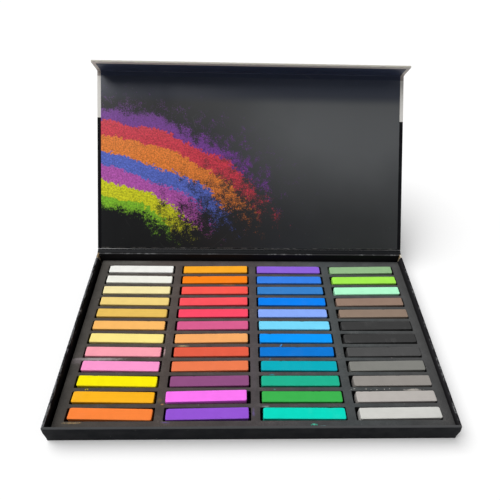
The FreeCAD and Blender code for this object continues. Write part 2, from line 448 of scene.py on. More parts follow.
    def grain(self, vector: Socket, scale: float) -> tuple[Socket, Socket]:
        """Height and shade of an even grain."""
        node = self.add("ShaderNodeGroup", node_tree=Effects.get(EffectKind.GRAIN))
        self.feed(node.inputs["Vector"], vector)
        self.feed(node.inputs["Scale"], scale)
        return node.outputs["Height"], node.outputs["Shade"]

    def mask(self, kind: EffectKind, vector: Socket, scale: float, amount: float) -> Socket:
        """Mask of a shared effect."""
        inputs = {"Vector": vector, "Scale": scale, "Amount": amount}
        return self.make("ShaderNodeGroup", inputs, "Mask", node_tree=Effects.get(kind))

    def dusty(self, vector: Socket, film_scale: float, film: float, speck_scale: float,
              specks: float) -> Socket:
        """Mask of a dust film with lone specks."""
        return self.most(self.mask(EffectKind.DUST, vector, film_scale, film),
                         self.mask(EffectKind.SPECKS, vector, speck_scale, specks))

    def bump(self, height: Socket, depth: float, strength: float = 1.0) -> Socket:
        """Normal of a height in 0 to 1 that stands for depth metres."""
        return self.make("ShaderNodeBump", {"Strength": strength, "Distance": depth, "Height": height})


class Effects:
    """Builds each shared shader group once."""

    _built: dict[EffectKind, bpy.types.NodeTree] = {}

    @classmethod
    def get(cls, kind: EffectKind) -> bpy.types.NodeTree:
        """The group of one effect."""
        if kind not in cls._built:
            cls._built[kind] = cls._build(kind)
        return cls._built[kind]

    @classmethod
    def _build(cls, kind: EffectKind) -> bpy.types.NodeTree:
        """Make a group's sockets and wire them with the effect's own method.

        Args:
            kind: The effect. Its value, after an underscore, names its method.

        Returns:
            The group.
        """
        grain = kind is EffectKind.GRAIN
        inputs = ("Vector", "Scale") if grain else ("Vector", "Scale", "Amount")
        outputs = ("Height", "Shade") if grain else ("Mask",)
        group = bpy.data.node_groups.new(kind.value, "ShaderNodeTree")
        for label in inputs:
            socket_type = "NodeSocketVector" if label == "Vector" else "NodeSocketFloat"
            group.interface.new_socket(label, in_out="INPUT", socket_type=socket_type)
        for label in outputs:
            group.interface.new_socket(label, in_out="OUTPUT", socket_type="NodeSocketFloat")
        tree = Tree(group)
        start, end = tree.add("NodeGroupInput"), tree.add("NodeGroupOutput")
        results = getattr(cls, "_" + kind.value)(tree, *(start.outputs[label] for label in inputs))
        for label, result in zip(outputs, results):
            tree.feed(end.inputs[label], result)
        return group

    @staticmethod
    def _fine_grain(tree: Tree, vector: Socket, scale: Socket) -> tuple[Socket, ...]:
        """Even grain: a height for the bump and a soft shade for colour and roughness."""
        return tree.noise(vector, scale, 3.0, 0.6), tree.noise(vector, tree.times(scale, 0.06), 3.0, 0.55)

    @staticmethod
    def _dust_film(tree: Tree, vector: Socket, scale: Socket, amount: Socket) -> tuple[Socket, ...]:
        """Patchy dust: a mask that thickens in broad patches and breaks up into grains."""
        patch = tree.spread(tree.noise(vector, scale, 4.0, 0.6), 0.52, 0.75, smooth=True)
        grains = tree.spread(tree.noise(vector, tree.times(scale, 24.0)), 0.42, 0.7)
        return (tree.times(patch, grains, amount, clamp=True),)

    @staticmethod
    def _rub_flecks(tree: Tree, vector: Socket, scale: Socket, amount: Socket) -> tuple[Socket, ...]:
        """Rubbed spots: small sharp flecks where the print is worn through."""
        broad = tree.noise(vector, tree.times(scale, 0.12), 3.0, 0.6)
        fine = tree.noise(vector, scale, 4.0, 0.7)
        worn = tree.plus(tree.times(broad, 0.6), tree.times(fine, 0.4))
        level = tree.minus(0.78, tree.times(amount, 0.36))
        return (tree.times(tree.minus(worn, level), 14.0, clamp=True),)

    @staticmethod
    def _hair_scratches(tree: Tree, vector: Socket, scale: Socket, amount: Socket) -> tuple[Socket, ...]:
        """Short hair scratches at odd angles."""
        bent = tree.bent(vector, 0.03, 9.0, 13.0)
        line = tree.spread(tree.cells(bent, scale, "DISTANCE_TO_EDGE"), 0.0, 0.006, 1.0, 0.0)
        gate = tree.spread(tree.noise(vector, tree.times(scale, 1.7), 1.0), 0.6, 0.68)
        return (tree.times(line, gate, amount, clamp=True),)

    @staticmethod
    def _lone_specks(tree: Tree, vector: Socket, scale: Socket, amount: Socket) -> tuple[Socket, ...]:
        """Lone round specks of dust, a few to each patch."""
        bent = tree.bent(vector, 0.6 * MM, 700.0, 900.0, 800.0)
        dot = tree.spread(tree.cells(bent, scale), 0.04, 0.08, 1.0, 0.0)
        gate = tree.spread(tree.noise(vector, tree.times(scale, 0.37)), 0.54, 0.58)
        return (tree.times(dot, gate, amount, clamp=True),)


class Surface(Tree):
    """A new material's tree and its Principled shader."""

    def __init__(self, name: str) -> None:
        """Start the material."""
        self.material = bpy.data.materials.new(name)
        self.material.use_nodes = True
        super().__init__(self.material.node_tree)

    def finish(self, **inputs: object) -> Material:
        """Feed the shader and give the material; an input's underscores stand for spaces."""
        shader = self.tree.nodes["Principled BSDF"]
        for key, value in inputs.items():
            self.feed(shader.inputs[key.replace("_", " ")], value)
        return self.material


# ---- finishes ----

@dataclass(frozen=True)
class WrapPaper:
    """Laminated black wrap, which turns pale past a line on the lid and flap."""

    name: str
    leaf: Leaf | None = None
    pale_from: float = -1.0
    worn_edge: float | None = None
    black: RGB = srgb(17, 17, 20)
    pale: RGB = srgb(226, 224, 219)
    shaded_inner_pale: RGB | None = None
    white: RGB = srgb(200, 197, 184)
    soil: RGB = srgb(170, 164, 150)
    powder: RGB = srgb(150, 148, 144)
    dust: float = 0.05
    gloss: float = 0.06
    roughness: tuple[float, float] = (0.34, 0.5)
    grain_scale: float = 1600.0
    relief: float = 0.03 * MM

    def build(self) -> Material:
        """Build the material."""
        tree = Surface(self.name)
        place = tree.place()
        height, shade = tree.grain(place, self.grain_scale)
        colour = tree.mix(shade, self.black, scaled(self.black, 1.5))
        if self.leaf:
            colour = self._two_tone(tree, place, colour)
        colour = tree.mix(tree.dusty(place, 22.0, self.dust, 210.0, 0.7), colour, self.powder)
        return tree.finish(
            Base_Color=self.wear(tree, place, colour), Specular_IOR_Level=self.gloss,
            Roughness=tree.spread(shade, *NOISE_BAND, *self.roughness),
            Normal=tree.bump(height, self.relief, 0.5))

    def _two_tone(self, tree: Tree, place: Socket, colour: Socket) -> Socket:
        """Turn the wrap pale past its line, its inner face a darker pale of painted shade if one is given,
        soiled in patches and rubbed white at the free edge.

        Args:
            tree: The material's tree.
            place: The box's axes.
            colour: The black wrap.

        Returns:
            The colour with its pale part.
        """
        _, along, out = tree.split(tree.local(self.leaf))
        pale = self.pale
        # painted shade: the inner face takes the darker pale
        if self.shaded_inner_pale:
            pale = tree.mix(tree.spread(out, -2.2 * MM, -1.4 * MM), self.pale, self.shaded_inner_pale)
        soiled = tree.mix(tree.mask(EffectKind.DUST, place, 60.0, 0.5), pale, self.soil)
        if self.worn_edge:
            ragged = tree.waver(place, 260.0, -0.5 * MM, 0.3 * MM, 3.0)
            near = tree.spread(tree.plus(along, ragged), self.worn_edge - 0.5 * MM, self.worn_edge)
            soiled = tree.mix(near, soiled, self.white)
        return tree.mix(tree.spread(along, self.pale_from, self.pale_from + 0.15 * MM), colour, soiled)

    def wear(self, tree: Tree, place: Socket, colour: Socket) -> Socket:
        """Wear of the wrap where it has any of its own."""
        return colour


@dataclass(frozen=True)
class TrayWrap(WrapPaper):
    """The tray's wrap: its rim rubbed grey and given a painted highlight, painted glints along the left
    wall, its two back corners split down to the board.
    """

    black: RGB = srgb(7, 9, 14)
    dust: float = 0.02
    gloss: float = 0.02
    lining: RGB = srgb(34, 33, 35)
    rim_rub_and_highlight: RGB = srgb(104, 105, 106)
    # pale grey of the painted glints and of the dotted edge wear
    glint_and_wear: RGB = srgb(190, 190, 195)
    board: RGB = srgb(158, 136, 104)
    torn: RGB = srgb(214, 208, 196)
    rim_band: float = 0.3 * MM
    split_left: float = 5.0 * MM
    split_right: float = 2.6 * MM
    tip_reach: float = 1.7 * MM
    paper_edge: float = 0.55 * MM

    def wear(self, tree: Tree, place: Socket, colour: Socket) -> Socket:
        """Line the inside, give the rim its rubs and painted highlight and the left wall its painted glints,
        and bare the corners.

        Args:
            tree: The material's tree.
            place: The box's axes.
            colour: The wrap's colour.

        Returns:
            The worn colour.
        """
        x, y, z = tree.split(place)
        aside = tree.math("ABSOLUTE", x)
        lined = tree.times(
            tree.below(aside, TRAY_HIGH.x - 0.6 * WALL), tree.above(y, TRAY_LOW.y + 0.6 * WALL),
            tree.above(z, FOAM_HIGH.z - 2 * MM))
        colour = tree.mix(lined, colour, self.lining)
        # the rim: rub flecks and a painted highlight
        colour = tree.mix(self._rim_rubs_and_highlight(tree, place, y, z), colour, self.rim_rub_and_highlight)
        # painted glints along the top of the left wall
        colour = tree.mix(self._side_glints(tree, place, x, z), colour, self.glint_and_wear)
        # dotted wear on the left wall's outer top edge, in the same pale grey
        colour = tree.mix(self._side_edge(tree, place, x, y, z), colour, self.glint_and_wear)
        return self._split_corners(tree, place, colour, aside)

    def _rim_rubs_and_highlight(self, tree: Tree, place: Socket, y: Socket, z: Socket) -> Socket:
        """Grey on the rim: rub flecks at the sides, and a steady painted highlight at the front and,
        fainter, at the back.

        Args:
            tree: The material's tree.
            place: The box's axes.
            y: Their second part.
            z: Their third part.

        Returns:
            The mask.
        """
        on_rim = tree.spread(z, RIM_Z - self.rim_band, RIM_Z - 0.4 * self.rim_band)
        back = tree.spread(y, TRAY_HIGH.y - 3 * MM, TRAY_HIGH.y - 2 * MM)
        front = tree.spread(y, TRAY_LOW.y + 1.5 * MM, TRAY_LOW.y + 2.5 * MM, 1.0, 0.0)
        # painted highlight: a steady lighter band on the rim's top at the front and, fainter, at the back
        even = tree.times(tree.most(front, tree.times(back, 0.4)), 0.45)
        flecks = tree.mask(EffectKind.FLECKS, place, 950.0, 0.74)
        spotted = tree.times(flecks, tree.minus(1.0, tree.times(front, 0.6)))
        return tree.times(on_rim, tree.most(spotted, even))

    def _split_corners(self, tree: Tree, place: Socket, colour: Socket, aside: Socket) -> Socket:
        """Board and torn paper where the two back corners split, and a torn tip at the right one.

        Args:
            tree: The material's tree.
            place: The box's axes.
            colour: The wrap's colour.
            aside: Distance from the middle plane.

        Returns:
            The colour with the splits.
        """
        x, y, z = tree.split(place)
        ragged = tree.waver(place, 420.0, -0.5 * MM, 0.5 * MM, 3.0)
        full = tree.spread(x, -1 * MM, 1 * MM, self.split_left, self.split_right)
        reach = tree.times(full, tree.spread(tree.minus(RIM_Z, z), 0.0, RIM_Z - FOAM_HIGH.z, 1.0, 0.12))
        from_back = tree.math("ABSOLUTE", tree.minus(TRAY_HIGH.y - WALL, y))
        spot = tree.plus(from_back, ragged)
        on_side = tree.above(aside, TRAY_HIGH.x - WALL - 0.05 * MM)
        inside = tree.below(aside, TRAY_HIGH.x - 0.35 * MM)
        bare = tree.times(tree.below(spot, reach), on_side, inside)
        lip = tree.times(tree.below(spot, tree.plus(reach, self.paper_edge)), on_side, inside, 0.55)
        board = tree.mix(tree.noise(place, 700.0, 3.0), scaled(self.board, 0.55), self.board)
        colour = tree.mix(bare, tree.mix(lip, colour, self.torn), board)
        tip = (TRAY_HIGH.x - 0.3 * MM, TRAY_HIGH.y - 3.0 * MM, RIM_Z)
        away = tree.length(tree.stretched(tree.vector("SUBTRACT", place, tip), (1.5, 0.7, 1.0)))
        return tree.mix(tree.below(tree.plus(away, ragged), self.tip_reach), colour, self.torn)

    def _side_glints(self, tree: Tree, place: Socket, x: Socket, z: Socket) -> Socket:
        """Painted glints: short bright ribs along the top of the left side wall, where the laminate's folds
        would catch the light.
        """
        ribs = tree.spread(tree.noise(tree.stretched(place, (1.0, 0.16, 0.7)), 900.0, 3.0, 0.6), 0.54, 0.7)
        height = tree.spread(z, RIM_Z - 5.5 * MM, RIM_Z - 1.2 * MM)
        inner = tree.spread(x, 3.6 * MM - TRAY_HIGH.x, 3.8 * MM - TRAY_HIGH.x, 1.0, 0.0)
        return tree.times(ribs, height, inner, 0.5)

    def _side_edge(self, tree: Tree, place: Socket, x: Socket, y: Socket, z: Socket) -> Socket:
        """Dotted wear along the left wall's outer top edge, which leans in towards the front."""
        lean = tree.spread(y, TRAY_LOW.y, TRAY_HIGH.y, TOE_IN_LEFT, 0.0)
        past = tree.above(tree.minus(lean, x), TRAY_HIGH.x - 0.45 * MM)
        top = tree.above(z, RIM_Z - 0.5 * MM)
        dots = tree.spread(tree.noise(tree.stretched(place, (0.3, 1.0, 0.3)), 800.0), 0.42, 0.62)
        return tree.times(past, top, dots, 0.75)


@dataclass(frozen=True)
class PowderArc:
    """One ring band of the liner's printed powder design."""

    colour: RGB
    width: float


@dataclass(frozen=True)
class LinerPrint:
    """Dark printed liner. A generic design of powdered arcs fills its left half."""

    name: str
    leaf: Leaf
    arcs: tuple[PowderArc, ...] = ()
    ink_dark: RGB = srgb(22, 23, 25)
    # lightest tone of the painted sheen
    painted_sheen: RGB = srgb(92, 94, 96)
    ink_navy: RGB = srgb(40, 46, 64)
    # navy of the painted light at the fold
    painted_fold_light: RGB = srgb(57, 62, 76)
    worn: RGB = srgb(150, 148, 144)
    centre: tuple[float, float] = (-190.0 * MM, -20.0 * MM)
    squash: float = 0.66
    first_radius: float = 70.0 * MM
    grain_scale: float = 1400.0
    relief: float = 0.02 * MM

    def build(self) -> Material:
        """Build the material."""
        tree = Surface(self.name)
        flat = tree.local(self.leaf)
        across, along, _ = tree.split(flat)
        colour = self._ground(tree, flat, across, along)
        if self.arcs:
            colour = self._powder(tree, flat, across, along, colour)
        marks = tree.most(tree.mask(EffectKind.SPECKS, flat, 170.0, 0.6),
                          tree.mask(EffectKind.SCRATCHES, flat, 16.0, 0.22))
        colour = tree.mix(tree.times(marks, 0.4), colour, self.worn)
        if self.arcs:
            near = LID_LEAF.liner_near
            foot = tree.spread(along, near + 0.35 * MM, near + 0.8 * MM, 0.6, 0.0)
            rubs = tree.mask(EffectKind.FLECKS, flat, 1500.0, 0.8)
            colour = tree.mix(tree.times(foot, rubs), colour, self.worn)
        height, _ = tree.grain(flat, self.grain_scale)
        return tree.finish(
            Base_Color=colour, Specular_IOR_Level=0.25,
            Roughness=tree.waver(tree.stretched(flat, (1.0, 0.45, 1.0)), 24.0, 0.34, 0.5, 4.0, 0.6),
            Normal=tree.bump(height, self.relief, 0.4))

    def _ground(self, tree: Tree, flat: Socket, across: Socket, along: Socket) -> Socket:
        """Dark ground with a painted sheen that lightens it towards the upper right, painted shade below the
        fold and a navy band of painted light at the fold.

        Args:
            tree: The material's tree.
            flat: Leaf coordinates.
            across: Their first part.
            along: Their second part.

        Returns:
            The colour.
        """
        if not self.arcs:
            return tree.mix(tree.noise(flat, 14.0), self.ink_navy, scaled(self.ink_navy, 1.3))
        # painted sheen: the ground lightens towards the upper right
        side = tree.spread(across, -115 * MM, 100 * MM, smooth=True)
        rise = tree.spread(along, 20 * MM, 140 * MM, 0.36, 1.2, smooth=True)
        haze = tree.waver(flat, 9.0, 0.8, 1.1, 3.0)
        colour = tree.mix(tree.times(side, rise, haze, clamp=True), self.ink_dark, self.painted_sheen)
        # painted shade: the flap's shadow on the lid, a navy darkening below the fold
        fold_shade = tree.spread(along, 153 * MM, 165 * MM, 0.0, 0.7, smooth=True)
        colour = tree.mix(fold_shade, colour, self.ink_navy)
        # painted light: a lighter navy band right at the fold, brighter towards the right
        fold_light = tree.mix(side, self.painted_fold_light, scaled(self.painted_fold_light, 1.4))
        return tree.mix(tree.spread(along, 162 * MM, 178 * MM, 0.0, 0.9), colour, fold_light)

    def _powder(self, tree: Tree, flat: Socket, across: Socket, along: Socket, ground: Socket) -> Socket:
        """Ring bands of powder that scatter into grains at their ends and edges.

        Args:
            tree: The material's tree.
            flat: Leaf coordinates.
            across: Their first part.
            along: Their second part.
            ground: The colour under the powder.

        Returns:
            The colour with the design.
        """
        def turned(low_deg: float, high_deg: float, at_low: float, at_high: float) -> Socket:
            """Value that changes with the angle about the arcs' centre."""
            return tree.spread(angle, math.radians(low_deg), math.radians(high_deg), at_low, at_high)

        from_x = tree.times(tree.minus(across, self.centre[0]), self.squash)
        from_y = tree.minus(along, self.centre[1])
        angle = tree.math("ARCTAN2", from_y, from_x)
        wobble = tree.waver(flat, 22.0, -5 * MM, 5 * MM, 4.0, 0.6)
        strewn = tree.times(tree.waver(flat, 330.0, -1.0, 1.0, 3.0, 0.7), turned(10, 65, 9 * MM, 2.2 * MM))
        worked = tree.plus(tree.plus(tree.length(tree.join(from_x, from_y)), wobble), strewn)
        total = sum(arc.width for arc in self.arcs)
        outer = self.first_radius + total
        inner = [sum(arc.width for arc in self.arcs[:index]) for index in range(len(self.arcs))]
        stops = [(low / total, arc.colour) for low, arc in zip(inner, self.arcs)]
        bands = tree.ramp(tree.spread(worked, self.first_radius, outer), stops, hard=True)
        edge_in = tree.spread(worked, self.first_radius - 6 * MM, self.first_radius + 10 * MM)
        edge_out = tree.spread(worked, outer - 16 * MM, outer + 6 * MM, 1.0, 0.0)
        far = tree.spread(worked, outer, outer + 46 * MM, 1.0, 0.0)
        body = tree.most(tree.times(edge_in, edge_out, turned(4, 70, 0.0, 1.15)),
                         tree.times(edge_in, far, turned(4, 46, 0.0, 0.42)))
        grains = tree.noise(flat, 900.0, 3.0, 0.75)
        clumps = tree.noise(flat, 90.0, 4.0, 0.65)
        speckle = tree.plus(tree.times(grains, 0.5), tree.times(clumps, 0.5))
        cover = tree.minus(tree.times(body, 0.4), tree.minus(speckle, 0.32))
        lit = tree.shaded(bands, tree.waver(flat, 620.0, 0.45, 1.2, 3.0, 0.7))
        return tree.mix(tree.times(cover, 8.0, clamp=True), ground, lit)


@dataclass(frozen=True)
class Smudge:
    """A smear of pastel dust on the foam: place and size in millimetres, and display levels."""

    x: float
    y: float
    length: float
    width: float
    levels: tuple[int, int, int]
    strength: float
    turn_deg: float = 0.0


@dataclass(frozen=True)
class FoamSheet:
    """Fine closed-cell foam, dusted and smudged by the sticks."""

    name: str
    smudges: tuple[Smudge, ...]
    tints: tuple[tuple[float, RGB], ...] = (
        (0.0, srgb(77, 74, 70)), (0.26, srgb(82, 74, 70)), (0.5, srgb(80, 75, 76)),
        (0.74, srgb(75, 79, 80)), (1.0, srgb(75, 75, 75)))
    powder: RGB = srgb(158, 150, 146)
    front_shade: float = 0.84
    front_depth: float = 70 * MM
    pocket_shade: float = 0.22
    grain_scale: float = 1500.0
    cell_scale: float = 1100.0
    relief: float = 0.12 * MM

    def build(self) -> Material:
        """Build the material."""
        tree = Surface(self.name)
        place = tree.place()
        x, y, z = tree.split(place)
        height, shade = tree.grain(place, self.grain_scale)
        cells = tree.cells(place, self.cell_scale)
        level = tree.times(
            tree.spread(shade, *NOISE_BAND, 0.84, 1.1), tree.spread(cells, 0.1, 0.6, 0.82, 1.08),
            tree.spread(y, FOAM_LOW.y, FOAM_LOW.y + self.front_depth, self.front_shade, 1.0))
        colour = tree.shaded(tree.ramp(tree.spread(x, FOAM_LOW.x, FOAM_HIGH.x), self.tints), level)
        colour = tree.mix(tree.dusty(place, 34.0, 0.2, 150.0, 0.6), colour, self.powder)
        for smudge in self.smudges:
            colour = self._smear(tree, place, colour, smudge)
        below = tree.spread(z, FOAM_HIGH.z - 1.2 * MM, FOAM_HIGH.z - 0.35 * MM, self.pocket_shade, 1.0)
        rise = tree.plus(tree.times(cells, 0.6), tree.times(height, 0.6))
        return tree.finish(Base_Color=tree.shaded(colour, below), Roughness=0.9, Specular_IOR_Level=0.2,
                           Normal=tree.bump(rise, self.relief, 0.6))

    @staticmethod
    def _smear(tree: Tree, place: Socket, colour: Socket, smudge: Smudge) -> Socket:
        """Lay one smudge over the colour.

        Args:
            tree: The material's tree.
            place: The box's axes.
            colour: The foam's colour.
            smudge: The smear.

        Returns:
            The colour with the smear.
        """
        away = tree.length(tree.within(
            place, Location=(smudge.x * MM, smudge.y * MM, FOAM_HIGH.z),
            Rotation=(0.0, 0.0, math.radians(smudge.turn_deg)),
            Scale=(smudge.length * MM / 2, smudge.width * MM / 2, 4 * MM)))
        ragged = tree.waver(place, 420.0, -0.45, 0.45, 4.0, 0.7)
        mask = tree.spread(tree.plus(away, ragged), 0.35, 1.1, smudge.strength, 0.0)
        return tree.mix(mask, colour, srgb(*smudge.levels))


@dataclass(frozen=True)
class PressedPastel:
    """Powdery pressed pastel of one pigment."""

    name: str
    colour: RGB
    seed: float
    dust: float = 0.14
    streak_scale: float = 900.0
    grain_scale: float = 2200.0
    relief: float = 0.045 * MM

    def build(self) -> Material:
        """Build the material."""
        tree = Surface(self.name)
        place = tree.vector("ADD", tree.place(), (self.seed, 0.0, 0.0))
        streaks = tree.noise(tree.stretched(place, (0.06, 1.0, 1.0)), self.streak_scale, 3.0, 0.6)
        height, shade = tree.grain(place, self.grain_scale)
        level = tree.times(tree.spread(streaks, *NOISE_BAND, 0.975, 1.02),
                           tree.spread(shade, *NOISE_BAND, 0.96, 1.02))
        colour = tree.shaded(self.colour, level)
        # pale colour for the painted edge highlight and for dust
        dust_and_edge_highlight = tuple(min(1.0, 0.8 * part + 0.16) for part in self.colour)
        rim = tree.make("ShaderNodeAttribute", {}, "Fac", attribute_name="arris")
        # lighter arrises: painted edge highlight, partly scuffed powder
        colour = tree.mix(tree.times(rim, tree.spread(height, 0.5, 0.75, 0.0, 0.3)), colour, dust_and_edge_highlight)
        colour = tree.mix(tree.mask(EffectKind.DUST, place, 60.0, self.dust), colour, dust_and_edge_highlight)
        pits = tree.mask(EffectKind.FLECKS, place, 1300.0, 0.05)
        colour = tree.mix(tree.times(pits, 0.5), colour, scaled(self.colour, 0.45))
        rise = tree.plus(tree.times(streaks, 0.5), tree.times(height, 0.5))
        return tree.finish(Base_Color=colour, Roughness=0.92, Specular_IOR_Level=0.15,
                           Normal=tree.bump(rise, self.relief, 0.45))


@dataclass(frozen=True)
class NickelPlate:
    """Nickel plate of the magnets, a little scuffed."""

    name: str = "nickel_plate"
    tint: RGB = (0.62, 0.61, 0.58)
    grain_scale: float = 900.0

    def build(self) -> Material:
        """Build the material."""
        tree = Surface(self.name)
        height, shade = tree.grain(tree.place(), self.grain_scale)
        return tree.finish(Base_Color=tree.mix(shade, scaled(self.tint, 0.8), self.tint), Metallic=1.0,
                           Roughness=tree.spread(height, *NOISE_BAND, 0.18, 0.34))


# ---- pigments and printed or smeared marks ----

@dataclass(frozen=True)
class Pigment:
    """A named stick colour in display levels, and how dusty the stick is."""

    name: str
    red: int
    green: int
    blue: int
    dust: float = 0.14

    @property
    def colour(self) -> RGB:
        """Its linear colour."""
        return srgb(self.red, self.green, self.blue)


PIGMENT_COLUMNS = (
    (
        Pigment("titanium_white", 245, 245, 240),
        Pigment("chalk_white", 245, 245, 235),
        Pigment("ivory", 250, 235, 175),
        Pigment("naples_yellow", 245, 215, 130),
        Pigment("ochre", 235, 195, 95),
        Pigment("apricot", 255, 190, 105),
        Pigment("vanilla", 255, 235, 140),
        Pigment("salmon_pink", 255, 165, 180),
        Pigment("rose_pink", 255, 155, 210),
        Pigment("lemon_yellow", 255, 240, 0),
        Pigment("golden_yellow", 255, 185, 30),
        Pigment("light_orange", 255, 135, 60),
    ),
    (
        Pigment("amber", 255, 175, 40),
        Pigment("orange", 255, 135, 20),
        Pigment("coral", 255, 90, 80),
        Pigment("light_red", 255, 85, 95),
        Pigment("carmine", 255, 75, 105),
        Pigment("raspberry", 220, 95, 145),
        Pigment("pale_sienna", 250, 175, 105),
        Pigment("brick_red", 230, 95, 70),
        Pigment("terracotta", 240, 125, 80),
        Pigment("plum", 145, 80, 130, 0.25),
        Pigment("magenta", 255, 120, 245),
        Pigment("violet", 150, 85, 215),
    ),
    (
        Pigment("light_violet", 145, 100, 220),
        Pigment("cobalt_blue", 55, 130, 235),
        Pigment("steel_blue", 55, 130, 205),
        Pigment("cerulean", 0, 130, 245),
        Pigment("lavender_blue", 140, 175, 255),
        Pigment("sky_blue", 120, 220, 255),
        Pigment("azure", 0, 155, 255),
        Pigment("ultramarine_light", 5, 120, 215),
        Pigment("turquoise", 0, 175, 190),
        Pigment("viridian_light", 30, 180, 145),
        Pigment("leaf_green", 60, 180, 80),
        Pigment("aqua_green", 0, 220, 195, 0.35),
    ),
    (
        Pigment("sage_green", 150, 190, 140),
        Pigment("lime_green", 165, 240, 80),
        Pigment("mint", 180, 255, 210),
        Pigment("taupe", 150, 125, 110),
        Pigment("umber_light", 145, 125, 110),
        Pigment("lamp_black", 60, 60, 60, 0.55),
        Pigment("ivory_black", 60, 60, 60, 0.6),
        Pigment("charcoal_grey", 80, 80, 80),
        Pigment("mid_grey", 130, 130, 125),
        Pigment("warm_grey", 150, 145, 140),
        Pigment("pale_grey", 185, 180, 175, 0.6),
        Pigment("silver_white", 210, 210, 205),
    ),
)

POWDER_ARCS = (
    PowderArc(srgb(140, 205, 50), 13 * MM),
    PowderArc(srgb(226, 228, 40), 15 * MM),
    PowderArc(srgb(196, 96, 190), 14 * MM),
    PowderArc(srgb(96, 116, 212), 13 * MM),
    PowderArc(srgb(246, 140, 60), 17 * MM),
    PowderArc(srgb(222, 66, 84), 15 * MM),
    PowderArc(srgb(126, 66, 158), 18 * MM),
)

SMUDGES = (
    Smudge(-134, -28.4, 48, 3.2, (165, 158, 158), 0.85),
    Smudge(-150, -30, 15, 7, (118, 110, 112), 0.6),
    Smudge(-126, 85.5, 60, 6, (96, 96, 92), 0.5),
    Smudge(-118, 87, 26, 1.6, (140, 138, 132), 0.35),
    Smudge(-140, -83.6, 16, 1.6, (165, 140, 100), 0.7),
    Smudge(-77, -21.5, 1.4, 10, (205, 170, 175), 0.6),
    Smudge(-75.4, -65.5, 4, 6, (105, 92, 62), 0.7),
    Smudge(-73, -69, 3, 1.2, (190, 140, 90), 0.8),
    Smudge(-69, -83.6, 7, 1.4, (105, 85, 140), 0.8),
    Smudge(-61, -15.2, 11, 1.6, (175, 155, 120), 0.9),
    Smudge(-22, 55.8, 14, 1.4, (200, 120, 40), 0.45),
    Smudge(-0.4, -76, 2.2, 7, (100, 85, 135), 0.7),
    Smudge(10, -70.9, 6, 1.4, (140, 165, 160), 0.7),
    Smudge(14.9, -28.4, 3, 1.4, (60, 125, 165), 0.8, 50),
    Smudge(16, -43, 5, 1.2, (0, 150, 160), 0.7),
    Smudge(17.5, -56.4, 2, 1.6, (85, 145, 130), 0.8),
    Smudge(25.4, -14.7, 3.6, 1.5, (70, 160, 230), 1.0, 55),
    Smudge(46.4, -85.6, 3, 1.6, (80, 200, 170), 0.9),
    Smudge(54, -87, 8, 1.2, (130, 180, 180), 0.8),
    Smudge(132, -57.5, 16, 3, (190, 184, 176), 0.8, 2),
    Smudge(0, -40, 7, 60, (104, 96, 108), 0.12, 3),
)


# ---- sub-assemblies ----

@dataclass
class CaseBoards:
    """The four wrapped boards of the case."""

    corner: float = 0.8 * MM
    edge_round: float = 0.35 * MM

    def board(self, corners: Sequence[Sequence[float]], thin_axis: int) -> BMesh:
        """Board between two corners, softened at its four corners, then at both faces' edges.

        Args:
            corners: The lowest and the highest corner.
            thin_axis: The axis across its thickness.

        Returns:
            The mesh.
        """
        bm = block(*corners)
        round_edges(bm, edges_along(bm, thin_axis), self.corner, 3)
        corner_runs = set(edges_along(bm, thin_axis))
        round_edges(bm, [e for e in bm.edges if e not in corner_runs], self.edge_round, 3)
        return bm

    def build(self) -> None:
        """Build and dress the boards."""
        black = WrapPaper("wrap_black").build()
        for name, node, thin_axis in (
            ("base_board", "case_base_panel", 2),
            ("spine_board", "case_spine_panel", 1),
        ):
            dress(self.board(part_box(node), thin_axis), name, black, Body.TRAY, [node])
        lid = WrapPaper("wrap_lid", leaf=LID_LEAF, pale_from=LID_LEAF.board_far - PALE_BAND)
        # the flap's inner face gets the darker pale of painted shade
        flap = WrapPaper(
            "wrap_flap", leaf=FLAP_LEAF, worn_edge=FLAP_LEAF.board_far, shaded_inner_pale=FLAP_PALE_SHADED)
        for body, finish, leaf in (
            (Body.LID, lid, LID_LEAF),
            (Body.FLAP, flap, FLAP_LEAF),
        ):
            bm = leaf.lay(self.board(leaf.board(), 2))
            dress(bm, body.value + "_board", finish.build(), body, [body.value + "_panel"])


@dataclass
class Liners:
    """The printed sheets on the lid's and flap's inner faces."""

    edge_round: float = 0.12 * MM

    def sheet(self, leaf: Leaf) -> BMesh:
        """Thin sheet on a leaf's inner face.

        Args:
            leaf: The lid or the flap.

        Returns:
            The mesh.
        """
        bm = block(*leaf.liner())
        upper = [e for e in bm.edges if min(v.co.z for v in e.verts) > leaf.board_face + TOUCH]
        round_edges(bm, upper, self.edge_round, 2)
        return leaf.lay(bm)

    def build(self) -> None:
        """Build and dress the liners."""
        for body, leaf, design in (
            (Body.LID, LID_LEAF, POWDER_ARCS),
            (Body.FLAP, FLAP_LEAF, ()),
        ):
            finish = LinerPrint("print_" + body.value, leaf, design).build()
            part = body.value
            dress(self.sheet(leaf), part + "_print", finish, body, [part + "_liner"])


